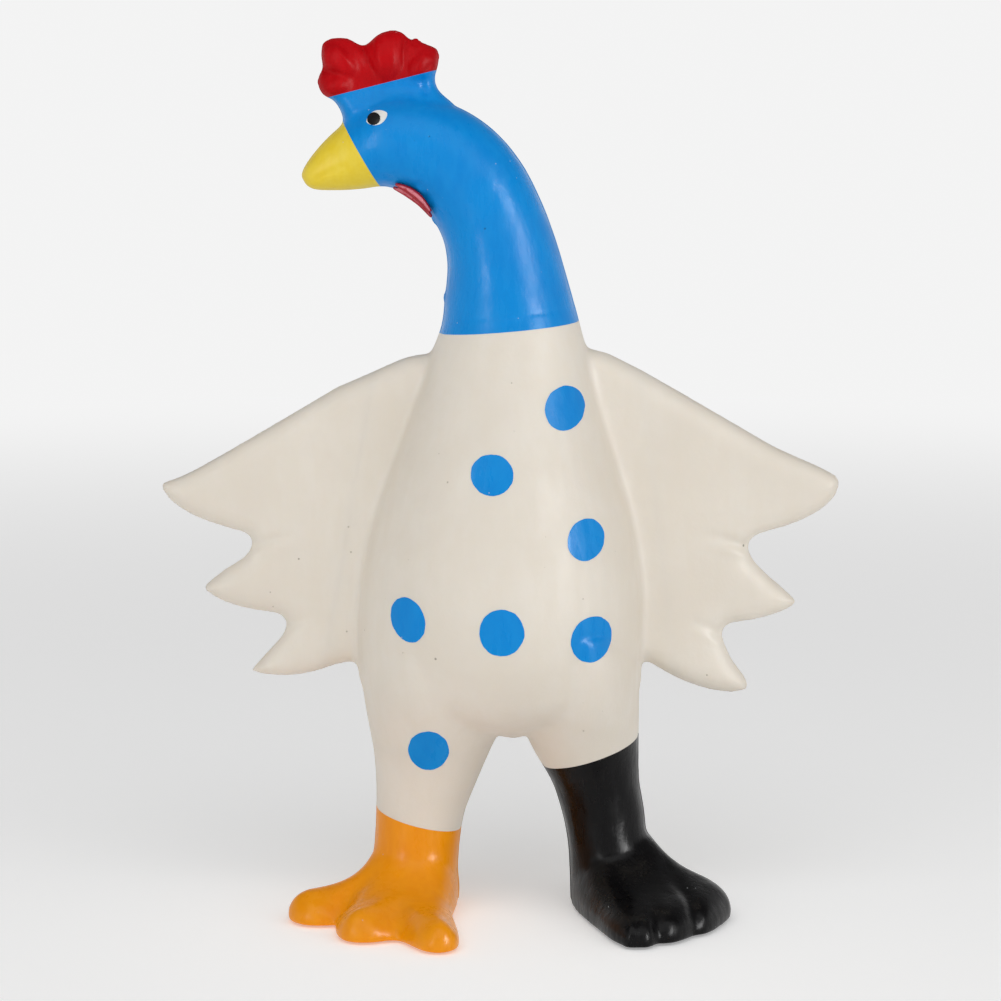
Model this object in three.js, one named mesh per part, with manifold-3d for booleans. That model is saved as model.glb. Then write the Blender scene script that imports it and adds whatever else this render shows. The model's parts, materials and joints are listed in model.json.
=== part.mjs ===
// A squeaky latex rubber chicken: a thin-walled hollow latex skin that bends at its neck, head, wings and
// legs, is pressed at the belly, and blows air through a reed squeaker plugged into its back.
// Millimetres. +X is to the right as the chicken faces the viewer, -Y is its front, +Z is up.
// The origin is on the floor, at the middle of the bounding box.

import * as THREE from "three";
import { LoftGeometry } from "three/addons/geometries/LoftGeometry.js";
import { mergeVertices } from "three/addons/utils/BufferGeometryUtils.js";
import Module from "manifold-3d";

const wasm = await Module();
wasm.setup();

// ---- Driving dimensions ----

const PARTING_Y = 7.35; // the mould's parting plane, which every outline is drawn in
const WALL = 2.2; // latex skin
const CLEARANCE = 0.4; // between solids that meet
const RING_SIDES = 22;
const CUT_LENGTH = 120; // longer than anything that a cutter passes through

const NECK_HINGE = { x: 2.3, z: 163, dx: -0.09, dz: 1, radius: 19.6 };
const HEAD_HINGE = { x: -9.5, z: 191, dx: -0.66, dz: 0.75, radius: 16 };
const LEG_HINGE = { z: 32, radius: 15.4 };
const WING_HINGE = { thickness: 8, radius: 4.3, stub: 5.6 };
const BELLY = { x: 0, z: 84, halfWidth: 20, halfHeight: 25 };
const SQUEAKER = { x: 0, z: 86, seatY: PARTING_Y + 27.9 };

const COLOURS = {
  latex: 0xddd5c8,
  blue: 0x1b82d6,
  red: 0xc01420,
  yellow: 0xe9d53c,
  orange: 0xe58d12,
  black: 0x131316,
  white: 0xf4f4f0,
  plastic: 0xe9e6dc,
};

// ---- Solids from three.js geometry ----

// A closed three.js geometry as a manifold-3d solid, with its degenerate triangles left out.
function solid(geometry) {
  const bare = new THREE.BufferGeometry();
  bare.setAttribute("position", geometry.attributes.position);
  bare.setIndex(geometry.index);
  const merged = mergeVertices(bare, 1e-4);
  const kept = [];
  const index = merged.index.array;
  for (let i = 0; i < index.length; i += 3) {
    const [a, b, c] = [index[i], index[i + 1], index[i + 2]];
    if (a !== b && b !== c && a !== c) kept.push(a, b, c);
  }
  return new wasm.Manifold(
    new wasm.Mesh({
      numProp: 3,
      vertProperties: new Float32Array(merged.attributes.position.array),
      triVerts: new Uint32Array(kept),
    }),
  );
}

function geometryOf(made) {
  const mesh = made.getMesh();
  const points = new Float32Array(mesh.numVert * 3);
  for (let i = 0; i < mesh.numVert; i++)
    points.set(
      mesh.vertProperties.subarray(i * mesh.numProp, i * mesh.numProp + 3),
      i * 3,
    );
  const geometry = new THREE.BufferGeometry();
  geometry.setAttribute("position", new THREE.BufferAttribute(points, 3));
  geometry.setIndex(new THREE.BufferAttribute(mesh.triVerts, 1));
  geometry.computeVertexNormals();
  return geometry;
}

function box(x0, y0, z0, x1, y1, z1) {
  const geometry = new THREE.BoxGeometry(x1 - x0, y1 - y0, z1 - z0);
  return solid(
    geometry.translate((x0 + x1) / 2, (y0 + y1) / 2, (z0 + z1) / 2),
  );
}

// A rod of one radius, centred on a point and lying along a direction.
function rod(radius, length, centre, along, sides = RING_SIDES) {
  const geometry = new THREE.CylinderGeometry(radius, radius, length, sides);
  const turn = new THREE.Quaternion().setFromUnitVectors(
    new THREE.Vector3(0, 1, 0),
    along.clone().normalize(),
  );
  geometry.applyQuaternion(turn).translate(centre.x, centre.y, centre.z);
  return solid(geometry);
}

const inPlane = (x, z) => new THREE.Vector3(x, PARTING_Y, z);
const ALONG_X = new THREE.Vector3(1, 0, 0);
const ALONG_Y = new THREE.Vector3(0, 1, 0);

// ---- Lofts ----

// A station of a loft is [left x, left z, right x, right z, front depth, back depth]: a chord across the
// outline in the parting plane, and how far the section swells to each side of it.
function lofted(stations, { inset = 0, from = 0, to = 1, rings = 18 } = {}) {
  const left = new THREE.CatmullRomCurve3(
    stations.map((s) => inPlane(s[0], s[1])),
  );
  const right = new THREE.CatmullRomCurve3(
    stations.map((s) => inPlane(s[2], s[3])),
  );
  const depth = new THREE.CatmullRomCurve3(
    stations.map((s) => new THREE.Vector3(s[4], s[5], 0)),
  );
  const sections = [];
  for (let i = 0; i <= rings; i++) {
    const t = from + ((to - from) * i) / rings;
    const [a, b, d] = [left.getPoint(t), right.getPoint(t), depth.getPoint(t)];
    const middle = a.clone().add(b).multiplyScalar(0.5);
    const wide = b.clone().sub(middle);
    wide.setLength(Math.max(wide.length() - inset, 0.3));
    const section = [];
    for (let j = 0; j < RING_SIDES; j++) {
      const angle = (2 * Math.PI * j) / RING_SIDES;
      const swell = Math.sin(angle) < 0 ? d.x : d.y;
      const point = middle.clone().addScaledVector(wide, Math.cos(angle));
      point.y += Math.max(swell - inset, 0.3) * Math.sin(angle);
      section.push(point);
    }
    sections.push(section);
  }
  return solid(new LoftGeometry(sections, { capStart: true, capEnd: true }));
}

// A plate of an even thickness with rounded edges, centred on the parting plane, from an outline in x and z.
function plate(outline, thickness, edge, curveSteps = 5) {
  const geometry = new THREE.ExtrudeGeometry(outline, {
    depth: thickness - 2 * edge,
    bevelThickness: edge,
    bevelSize: edge * 0.8,
    bevelOffset: -edge * 0.8,
    bevelSegments: 2,
    curveSegments: curveSteps,
  });
  geometry.translate(0, 0, edge - thickness / 2);
  geometry.rotateX(Math.PI / 2);
  return solid(geometry.translate(0, PARTING_Y, 0));
}

// ---- Finished meshes ----

const group = new THREE.Group();

function part(name, made, colour, roughness = 0.5) {
  const material = new THREE.MeshStandardMaterial({
    color: COLOURS[colour],
    roughness,
    metalness: 0,
  });
  const mesh = new THREE.Mesh(geometryOf(made), material);
  mesh.name = name;
  group.add(mesh);
}

// ---- Torso, with the stubs that the neck, wings and legs turn on ----

const TORSO = [
  [-12, 45, 13, 45, 8, 8],
  [-31, 50, 32.5, 50, 22, 19],
  [-35.6, 58, 36, 58, 29, 24.5],
  [-37, 70, 37, 70, 33.5, 27.5],
  [-36.6, 84, 37.2, 84, 35, 28.5],
  [-33.8, 100, 35.6, 100, 33.5, 27.3],
  [-29.3, 115, 31.4, 115, 30, 25],
  [-24.8, 129, 27.4, 129, 25.5, 22],
  [-20, 141, 24.4, 141, 20.8, 18.8],
  [-16.4, 149, 21.8, 149, 17.8, 16.8],
  [-14.4, 157, 19.2, 157, 16.3, 15.6],
];

const RIGHT_LEG = [
  [-33, -1, -11, -1, 14, 12.5],
  [-33.5, 9, -11.2, 9, 14, 12.5],
  [-32.6, 18, -10.9, 18, 12.4, 12],
  [-31.6, 26, -9.4, 26, 12, 12],
  [-31.5, 34, -6.4, 34, 12.8, 12.6],
  [-32.2, 42, -2.4, 42, 14.6, 14],
  [-33.6, 50, 0.6, 50, 17, 15.5],
  [-35, 60, 3, 60, 19, 17],
];

const LEFT_LEG = [
  [18.6, -1, 43, -1, 15, 12.5],
  [18.4, 9, 43, 9, 15, 12.5],
  [17.8, 18, 40, 18, 12.8, 12],
  [16.2, 26, 37.2, 26, 12, 12],
  [13.4, 34, 35.6, 34, 12.8, 12.6],
  [8.8, 42, 35.2, 42, 14.6, 14],
  [4.8, 50, 35.3, 50, 17, 15.5],
  [2.5, 60, 36, 60, 19, 17],
];

const RIGHT_WING_AXIS = [inPlane(-31.8, 141), inPlane(-45.3, 64)];
const LEFT_WING_AXIS = [inPlane(35.2, 141), inPlane(45, 62)];

// The cylinder that a leg's hinge turns in, between two x values.
function legCylinder(radius, x0, x1) {
  const centre = new THREE.Vector3((x0 + x1) / 2, PARTING_Y, LEG_HINGE.z);
  return rod(radius, x1 - x0, centre, ALONG_X);
}

const along = ([top, bottom]) => bottom.clone().sub(top);
const middleOf = ([top, bottom]) =>
  top.clone().add(bottom).multiplyScalar(0.5);

// The plate between the torso and a wing's hinge line, and the groove that the wing's root turns in.
function wingStub(axis, inward) {
  const [top, bottom] = axis;
  const outline = new THREE.Shape([
    new THREE.Vector2(top.x, top.z - 3),
    new THREE.Vector2(bottom.x, bottom.z + 4),
    new THREE.Vector2(bottom.x + 22 * inward, bottom.z + 7),
    new THREE.Vector2(top.x + 22 * inward, top.z - 3),
  ]);
  return plate(outline, WING_HINGE.stub, 0.6);
}

function wingGroove(axis) {
  return rod(
    WING_HINGE.radius + CLEARANCE,
    along(axis).length() + 30,
    middleOf(axis),
    along(axis),
    20,
  );
}

function torsoSkin() {
  const outside = lofted(TORSO, { rings: 13 })
    .add(lofted(RIGHT_LEG, { rings: 4, from: 0.3 }))
    .add(lofted(LEFT_LEG, { rings: 4, from: 0.3 }))
    .add(wingStub(RIGHT_WING_AXIS, 1))
    .add(wingStub(LEFT_WING_AXIS, -1))
    .add(rod(15, 8, squeakerPoint(-4), ALONG_Y));
  const inside = lofted(TORSO, { inset: WALL, from: 0.05, rings: 10 })
    .add(lofted(RIGHT_LEG, { inset: WALL, rings: 4, from: 0.3 }))
    .add(lofted(LEFT_LEG, { inset: WALL, rings: 4, from: 0.3 }))
    .subtract(rod(15, 8, squeakerPoint(4 - SEAT_DEPTH), ALONG_Y));
  const legCut = LEG_HINGE.radius + CLEARANCE;
  const legRoom = (x0, x1) =>
    legCylinder(legCut, x0, x1).add(
      box(x0, -CUT_LENGTH, -CUT_LENGTH, x1, CUT_LENGTH, LEG_HINGE.z + 2),
    );
  const neckRoom = rod(
    NECK_HINGE.radius + CLEARANCE,
    CUT_LENGTH,
    inPlane(NECK_HINGE.x, NECK_HINGE.z),
    ALONG_Y,
    32,
  );
  return outside
    .subtract(inside)
    .subtract(neckRoom)
    .subtract(legRoom(-CUT_LENGTH, 0.5))
    .subtract(legRoom(5, CUT_LENGTH))
    .subtract(wingGroove(RIGHT_WING_AXIS))
    .subtract(wingGroove(LEFT_WING_AXIS))
    .subtract(bellyCutter(CLEARANCE))
    .subtract(rod(PLUG.neck + CLEARANCE, 30, squeakerPoint(-8), ALONG_Y))
    .subtract(rod(PLUG.flange + CLEARANCE, 10, squeakerPoint(3.4), ALONG_Y));
}

// ---- Belly panel, the stretch of the front wall that is pressed in ----

function bellyCutter(margin) {
  const oval = new THREE.CylinderGeometry(1, 1, 60, 32);
  oval.scale(BELLY.halfWidth + margin, 1, BELLY.halfHeight + margin);
  return solid(oval.translate(BELLY.x, PARTING_Y - 40, BELLY.z));
}

function bellyPanel() {
  const wall = lofted(TORSO, { rings: 13 }).subtract(
    lofted(TORSO, { inset: WALL, from: 0.05, rings: 10 }),
  );
  return wall.intersect(bellyCutter(0));
}

// ---- Squeaker: a plastic plug gripped by the skin's hole, with a clamped reed in its barrel ----

const PLUG = { flange: 11, neck: 7.8, lip: 9, barrel: 5.2, bore: 3.6 };
const SEAT_DEPTH = 5; // of the thickened skin round the squeaker's hole
const BARREL_END = -SEAT_DEPTH - 15;

// A point on the squeaker's axis, so far out from the flat seat round its hole.
function squeakerPoint(out) {
  return new THREE.Vector3(SQUEAKER.x, SQUEAKER.seatY + out, SQUEAKER.z);
}

// A turned plastic piece on the squeaker's axis, from [radius, distance out from the seat] points.
function turned(profile, sides = 20) {
  const points = profile.map(([r, out]) => new THREE.Vector2(r, out)).reverse();
  const geometry = new THREE.LatheGeometry(points, sides);
  const seat = squeakerPoint(0);
  return solid(geometry.translate(seat.x, seat.y, seat.z));
}

function squeakerPlug() {
  const inner = -SEAT_DEPTH;
  return turned([
    [1.5, -0.4],
    [PLUG.flange - 0.6, -0.4],
    [PLUG.flange, -0.8],
    [PLUG.flange, -1.4],
    [PLUG.neck, -1.4],
    [PLUG.neck, inner - 0.3],
    [PLUG.lip, inner - 0.3],
    [PLUG.neck, inner - 2],
    [PLUG.barrel, inner - 2],
    [PLUG.barrel, BARREL_END],
    [PLUG.bore, BARREL_END],
    [PLUG.bore, -2.4],
    [1.5, -2.4],
    [1.5, -0.4],
  ]);
}

// The reed holder and its wedge are a rod split lengthways, and the reed lies in the slot between them.
const REED = { width: 3.8, length: 11, thick: 0.35, play: 0.75 };

function holderHalf(sign) {
  const far = BARREL_END + 1;
  const near = far + REED.length + 1;
  const centre = squeakerPoint((far + near) / 2);
  const whole = rod(PLUG.bore - 0.3, near - far, centre, ALONG_Y, 20);
  const edge = SQUEAKER.z + 0.35 * sign;
  const half =
    sign > 0
      ? box(-9, 0, edge, 9, CUT_LENGTH, edge + 9)
      : box(-9, 0, edge - 9, 9, CUT_LENGTH, edge);
  const channel = box(
    -REED.width / 2 - 0.4,
    centre.y - REED.length / 2 + 2.4,
    SQUEAKER.z - REED.play - 0.4,
    REED.width / 2 + 0.4,
    CUT_LENGTH,
    SQUEAKER.z + REED.play + 0.4,
  );
  return whole.intersect(half).subtract(channel);
}

function reed() {
  const middle = squeakerPoint(BARREL_END + 1.6 + REED.length / 2);
  return box(
    -REED.width / 2,
    middle.y - REED.length / 2,
    SQUEAKER.z - REED.thick / 2 + 0.02,
    REED.width / 2,
    middle.y + REED.length / 2,
    SQUEAKER.z + REED.thick / 2 + 0.02,
  );
}

// ---- Neck and head ----

const NECK_AND_HEAD = [
  [-17.6, 143, 23.4, 143, 19.8, 18.4],
  [-15.9, 150.5, 21.2, 151.5, 17.4, 16.6],
  [-14.3, 159, 18.7, 160.5, 15.9, 15.2],
  [-13.3, 167.5, 16, 170, 14.7, 14.3],
  [-14, 174.5, 12.8, 180, 14, 13.8],
  [-16.6, 180.5, 8.4, 190, 13.7, 13.4],
  [-20.4, 185, 2, 199.6, 13.4, 13.1],
  [-25.2, 188.4, -6.4, 207, 13, 12.8],
  [-28.8, 189.5, -16, 211.6, 12.4, 12.2],
  [-30.4, 189.6, -25.4, 213, 11.6, 11.5],
  [-31.2, 189.4, -34.2, 211, 10.6, 10.6],
  [-31.8, 189.2, -40.6, 205.4, 8.8, 8.8],
];

const BEAK = [
  [-31.8, 189.2, -40.6, 205.4, 8.8, 8.8],
  [-35.6, 188.3, -44.1, 202.6, 7.7, 7.7],
  [-40.4, 187.8, -47, 199.3, 6.2, 6.2],
  [-45, 188, -49, 195.4, 4.3, 4.3],
  [-48.2, 189.2, -49.9, 192.2, 1.9, 1.9],
  [-49.4, 190.2, -50, 191, 0.7, 0.7],
];

// The whole neck and head before they are cut apart, hollow up to the face.
function headTube(inset) {
  return lofted(NECK_AND_HEAD, { inset, rings: 15, to: inset > 0 ? 0.93 : 1 });
}

// Everything beyond a plane that stands on a point of the parting plane and faces along (dx, dz).
function beyond(x, z, dx, dz) {
  const half = new THREE.BoxGeometry(CUT_LENGTH, CUT_LENGTH, CUT_LENGTH);
  half.translate(CUT_LENGTH / 2, 0, 0);
  half.rotateY(-Math.atan2(dz, dx));
  return solid(half.translate(x, PARTING_Y, z));
}

function knuckle(hinge, radius) {
  return rod(radius, CUT_LENGTH, inPlane(hinge.x, hinge.z), ALONG_Y, 32);
}

// What a hinge of the neck carries: all that is past it along the neck, and the round of the knuckle.
function carriedBy(hinge) {
  return beyond(hinge.x, hinge.z, hinge.dx, hinge.dz).add(
    knuckle(hinge, hinge.radius),
  );
}

function leftBehind(hinge) {
  return knuckle(hinge, hinge.radius + CLEARANCE).add(
    beyond(hinge.x, hinge.z, hinge.dx, hinge.dz),
  );
}

function neckSkin() {
  return headTube(0)
    .subtract(headTube(WALL))
    .intersect(carriedBy(NECK_HINGE))
    .subtract(leftBehind(HEAD_HINGE));
}

// The thin fin of skin that joins the skull to the comb, under the paint line.
const PAINT_LINE = { x: -29.5, z: 215.6, dx: -0.27, dz: 0.96 };

function finOutline() {
  const outline = new THREE.Shape();
  outline.moveTo(-41.2, 205.6);
  outline.quadraticCurveTo(-41, 209.6, -43.6, 211.6);
  outline.lineTo(-43.6, 222);
  outline.lineTo(-16, 222);
  outline.quadraticCurveTo(-18.6, 214.6, -12.4, 211);
  outline.lineTo(-14, 205);
  outline.lineTo(-30, 200);
  return outline;
}

function paintedRed(gap) {
  const { x, z, dx, dz } = PAINT_LINE;
  return beyond(x, z + gap, dx, dz);
}

function headSkin() {
  const fin = plate(finOutline(), 6.4, 1.4).subtract(paintedRed(0));
  return headTube(0)
    .add(fin)
    .subtract(headTube(WALL))
    .intersect(carriedBy(HEAD_HINGE));
}

function beak() {
  const outer = lofted(BEAK, { rings: 8, from: 0.02 });
  return outer.subtract(lofted(BEAK, { inset: WALL, rings: 6, to: 0.55 }));
}

function combOutline() {
  const outline = new THREE.Shape();
  outline.moveTo(-42.4, 212.4);
  outline.bezierCurveTo(-47.4, 213, -48.2, 217.4, -45.2, 219.4);
  outline.bezierCurveTo(-47.6, 224.4, -45.6, 227.6, -41, 227.4);
  outline.quadraticCurveTo(-36.2, 227.4, -33.4, 225.2);
  outline.bezierCurveTo(-30.4, 230, -23.6, 230, -21.8, 225.6);
  outline.bezierCurveTo(-19, 225.8, -15.6, 225, -16.4, 220.2);
  outline.lineTo(-16.4, 212);
  return outline;
}

function comb() {
  return plate(combOutline(), 8, 2.2, 3).intersect(paintedRed(CLEARANCE));
}

// One of the two wattles, lobes that hug the throat side by side.
function wattle(side) {
  const lobe = new THREE.SphereGeometry(1, 12, 8);
  lobe.scale(7, 2.8, 3.2);
  lobe.rotateY(THREE.MathUtils.degToRad(37));
  lobe.translate(-22.8, PARTING_Y - 3.4 * side, 184.6);
  return solid(lobe).subtract(headTube(-CLEARANCE));
}

// ---- Eyes: an almond of white with a dark pupil on it, one on each cheek ----

const EYE = { x: -32, z: 207.1, width: 3, height: 1.7, tilt: 17 };

// A layer on the cheek of one side, between two heights over the skin, cut to an oval.
function onCheek(side, low, high, width, height, shift = 0) {
  const oval = new THREE.CylinderGeometry(1, 1, 20, 14);
  oval.scale(width, 1, height);
  oval.rotateY(THREE.MathUtils.degToRad(-EYE.tilt));
  oval.translate(EYE.x + shift, PARTING_Y - 11 * side, EYE.z);
  return headTube(-high).subtract(headTube(-low)).intersect(solid(oval));
}

function eyeWhite(side) {
  return onCheek(side, 0.3, 0.9, EYE.width, EYE.height);
}

function eyePupil(side) {
  return onCheek(side, 1.2, 1.7, 1.5, 1.5, -0.7);
}

// ---- Wings: hollow flattened pockets with three feathers ----

// Points are [x, z]. A wing's outline runs along its top edge, then down its feathers and back to the root.
const RIGHT_WING = {
  top: [
    [-43, 135.3],
    [-64, 123.2],
    [-78, 115.6],
  ],
  feathers: [
    { tip: [-87, 111.4], under: [-80, 101.2], notch: [-64.4, 97.8] },
    {
      over: [-64.8, 91.6],
      tip: [-76.4, 84.2],
      under: [-69, 76.6],
      notch: [-55.6, 76],
    },
    { over: [-55.6, 71.4], tip: [-63.8, 63.4], under: [-53, 59.4] },
  ],
};

const LEFT_WING = {
  top: [
    [45.8, 135.2],
    [65, 123.5],
    [78, 117.1],
  ],
  feathers: [
    { tip: [87, 112], under: [83, 101], notch: [64.4, 97] },
    {
      over: [64.4, 90.4],
      tip: [76.2, 80.3],
      under: [70, 75.4],
      notch: [57.4, 74.8],
    },
    { over: [56.2, 69], tip: [63.8, 59.6], under: [57, 54.6] },
  ],
};

function wingOutline(wing, [top, bottom], outward) {
  const outline = new THREE.Shape();
  outline.moveTo(top.x, top.z);
  outline.splineThru(wing.top.map(([x, z]) => new THREE.Vector2(x, z)));
  for (const { over, tip, under, notch } of wing.feathers) {
    if (over) outline.quadraticCurveTo(...over, ...tip);
    else outline.lineTo(...tip);
    const end = notch ?? [bottom.x, bottom.z];
    outline.quadraticCurveTo(...under, ...end);
    if (notch) outline.lineTo(notch[0] - 0.2 * outward, notch[1] - 2.4);
  }
  return outline;
}

// The air space inside a wing, open at its root.
function wingPocket(axis, outward) {
  const [top, bottom] = axis;
  const outline = new THREE.Shape([
    new THREE.Vector2(top.x - 8 * outward, top.z - 12),
    new THREE.Vector2(top.x + 38 * outward, top.z - 28),
    new THREE.Vector2(top.x + 20 * outward, bottom.z + 24),
    new THREE.Vector2(bottom.x - 8 * outward, bottom.z + 8),
  ]);
  return plate(outline, WING_HINGE.thickness - 2 * WALL, 0.8);
}

function wingSkin(wing, axis, outward) {
  const outline = wingOutline(wing, axis, outward);
  const root = rod(
    WING_HINGE.radius,
    along(axis).length() - 6,
    middleOf(axis),
    along(axis),
    20,
  );
  return plate(outline, WING_HINGE.thickness, 1.6, 3)
    .add(root)
    .subtract(wingPocket(axis, outward));
}

// ---- Legs and feet ----

// A toe is a rounded lobe that lies on the floor, from its root to its tip.
function toe([rootX, rootY], [tipX, tipY], width, height) {
  const start = new THREE.Vector3(rootX, PARTING_Y + rootY, 0);
  const end = new THREE.Vector3(tipX, PARTING_Y + tipY, 0);
  const way = end.clone().sub(start);
  const lobe = new THREE.CapsuleGeometry(width, way.length() - width, 4, 10);
  lobe.rotateZ(-Math.PI / 2);
  lobe.translate((way.length() - width) / 2, 0, 0);
  lobe.scale(1, 1, height / (2 * width));
  lobe.rotateZ(Math.atan2(way.y, way.x));
  return solid(lobe.translate(start.x, start.y, height / 2 - 0.8));
}

const aboveFloor = () =>
  box(-CUT_LENGTH, -CUT_LENGTH, 0, CUT_LENGTH, CUT_LENGTH, CUT_LENGTH);

// The rounded top of a foot, which the toes run into.
function instep({ centre: [x, y, z], size: [wide, deep, high] }) {
  const dome = new THREE.SphereGeometry(1, 14, 10);
  dome.scale(wide, deep, high);
  return solid(dome.translate(x, PARTING_Y + y, z));
}

// A leg and its foot as one hollow solid, hung from the hinge.
function legAndFoot(stations, foot, x0, x1) {
  const outside = foot.toes.reduce(
    (made, t) => made.add(toe(...t)),
    lofted(stations, { rings: 8 }).add(instep(foot.instep)),
  );
  const hollow = lofted(stations, { inset: WALL, rings: 6, from: 0.1 });
  const carried = legCylinder(LEG_HINGE.radius, x0, x1).add(
    box(x0, -CUT_LENGTH, 0, x1, CUT_LENGTH, LEG_HINGE.z),
  );
  return outside
    .subtract(hollow.intersect(box(-60, -60, 7, 60, 60, CUT_LENGTH)))
    .intersect(carried)
    .intersect(aboveFloor());
}

// A toe is [root, tip, half its width, height].
const ORANGE_FOOT = {
  instep: { centre: [-25.5, -7, 5], size: [15, 19, 15] },
  toes: [
    [[-26, -3], [-53.6, -10.5], 7, 11.5],
    [[-24, -6], [-36.5, -37], 8, 12],
    [[-21, -4], [-15.6, -42.6], 7.4, 11.5],
    [[-21, 2], [-19, 13], 8.6, 12],
  ],
};

const BLACK_FOOT = {
  instep: { centre: [32, -9, 7], size: [16, 23, 18] },
  toes: [
    [[26, -4], [33, -41.4], 7.4, 12.5],
    [[30, -4], [42.4, -39.6], 7.4, 14],
    [[30, -3], [52, -31.4], 7.8, 15],
    [[31, -1], [60.6, -16], 9, 17],
    [[30, 2], [27, 13], 10, 14],
  ],
};

const ORANGE_LINE = 24.4; // the height of the paint's edge on the orange leg

function rightLeg() {
  return legAndFoot(RIGHT_LEG, ORANGE_FOOT, -CUT_LENGTH, -0.1);
}

function leftLeg() {
  return legAndFoot(LEFT_LEG, BLACK_FOOT, 5.6, CUT_LENGTH);
}

const slabAbove = (z) =>
  box(-CUT_LENGTH, -CUT_LENGTH, z, CUT_LENGTH, CUT_LENGTH, CUT_LENGTH);

// ---- Assembly ----

part("torso_skin", torsoSkin(), "latex");
part("belly_panel", bellyPanel(), "latex");

part("squeaker_plug", squeakerPlug(), "plastic", 0.35);
part("squeaker_reed_holder", holderHalf(-1), "plastic", 0.35);
part("squeaker_reed_wedge", holderHalf(1), "plastic", 0.35);
part("squeaker_reed", reed(), "plastic", 0.3);

part("neck_skin", neckSkin(), "blue", 0.35);
part("head_skin", headSkin(), "blue", 0.35);
part("comb", comb(), "red", 0.4);
part("beak", beak(), "yellow", 0.4);
part("front_wattle", wattle(1), "red", 0.4);
part("rear_wattle", wattle(-1), "red", 0.4);
for (const [side, label] of [
  [1, "front"],
  [-1, "rear"],
]) {
  part(`${label}_eye_white`, eyeWhite(side), "white", 0.4);
  part(`${label}_eye_pupil`, eyePupil(side), "black", 0.3);
}

part("right_wing_skin", wingSkin(RIGHT_WING, RIGHT_WING_AXIS, -1), "latex");
part("left_wing_skin", wingSkin(LEFT_WING, LEFT_WING_AXIS, 1), "latex");

part(
  "right_leg_skin",
  rightLeg().intersect(slabAbove(ORANGE_LINE + CLEARANCE)),
  "latex",
);
part("orange_foot", rightLeg().subtract(slabAbove(ORANGE_LINE)), "orange", 0.4);
part("black_foot", leftLeg(), "black", 0.35);

export default group;
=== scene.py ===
"""A squeaky latex rubber chicken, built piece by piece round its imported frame."""

import json
import math

import bmesh
import bpy
import numpy as np
from mathutils import Matrix, Vector, bvhtree, noise
from mathutils.geometry import interpolate_bezier


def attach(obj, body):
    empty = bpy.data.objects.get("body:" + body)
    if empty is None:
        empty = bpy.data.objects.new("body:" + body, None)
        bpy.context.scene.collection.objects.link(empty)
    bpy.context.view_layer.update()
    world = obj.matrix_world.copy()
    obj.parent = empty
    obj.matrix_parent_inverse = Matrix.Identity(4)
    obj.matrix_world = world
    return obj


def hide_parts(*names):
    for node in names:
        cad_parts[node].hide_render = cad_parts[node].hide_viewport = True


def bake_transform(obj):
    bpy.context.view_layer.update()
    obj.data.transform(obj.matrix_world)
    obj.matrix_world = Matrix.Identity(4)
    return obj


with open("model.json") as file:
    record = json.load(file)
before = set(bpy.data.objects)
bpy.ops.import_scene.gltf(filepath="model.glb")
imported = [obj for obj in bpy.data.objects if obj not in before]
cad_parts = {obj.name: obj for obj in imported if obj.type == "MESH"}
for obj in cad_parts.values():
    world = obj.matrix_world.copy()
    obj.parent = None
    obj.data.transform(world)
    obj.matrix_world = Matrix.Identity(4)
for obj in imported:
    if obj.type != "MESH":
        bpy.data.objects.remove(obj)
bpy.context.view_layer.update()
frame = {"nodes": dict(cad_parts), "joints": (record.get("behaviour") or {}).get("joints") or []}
hinges = {joint["name"]: joint for joint in frame["joints"]}

# ---- The casting ----
# The whole skin is one hollow latex casting, poured in a two-part mould that parts in an upright plane
# through the beak, the wings and the legs. It is drawn in millimetres, with y measured from that plane.

MM = 0.001
PARTING = hinges["neck_bend"]["pos_m"][1] / MM
WALL = 2.2
RING_SIDES = 48
FINE = 0.68  # the outer face's mesh
COARSE = 1.6  # the mesh of the hollow


def along(rows, t):
    """A smooth curve through rows of numbers, at a share t of the way along them."""
    place = t * (len(rows) - 1)
    i = min(int(place), len(rows) - 2)
    u = place - i
    near = [rows[max(0, min(i + k, len(rows) - 1))] for k in (-1, 0, 1, 2)]
    return [
        0.5 * (2 * b + (c - a) * u + (2 * a - 5 * b + 4 * c - d) * u**2 + (3 * b - a - 3 * c + d) * u**3)
        for a, b, c, d in zip(*near)
    ]


def add_ring(bm, place, cap):
    """A ring made from a circle, each point of which goes where place(x, y) says. Returns its edges."""
    made = bmesh.ops.create_circle(bm, cap_ends=cap, segments=RING_SIDES, radius=1)
    edges = list({edge for vert in made["verts"] for edge in vert.link_edges})
    for vert in made["verts"]:
        vert.co = place(vert.co.x, vert.co.y)
    return edges


def join_rings(bm, rings):
    for low, high in zip(rings, rings[1:]):
        bmesh.ops.bridge_loops(bm, edges=low + high)


def add_tube(bm, stations, steps, inset=0.0, start=0.0, end=1.0):
    """A closed tube through stations of [left x, left z, right x, right z, front depth, back depth]."""
    rings = []
    for i in range(steps + 1):
        left_x, left_z, right_x, right_z, front, back = along(stations, start + (end - start) * i / steps)
        middle = Vector((left_x + right_x, 0, left_z + right_z)) / 2
        half = Vector((right_x - left_x, 0, right_z - left_z)) / 2
        half *= max(1 - inset / half.length, 0.05)

        def place(x, y):
            depth = max((back if y > 0 else front) - inset, 0.2)
            return middle + half * x + Vector((0, depth * y, 0))

        rings.append(add_ring(bm, place, cap=i in (0, steps)))
    join_rings(bm, rings)


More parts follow.
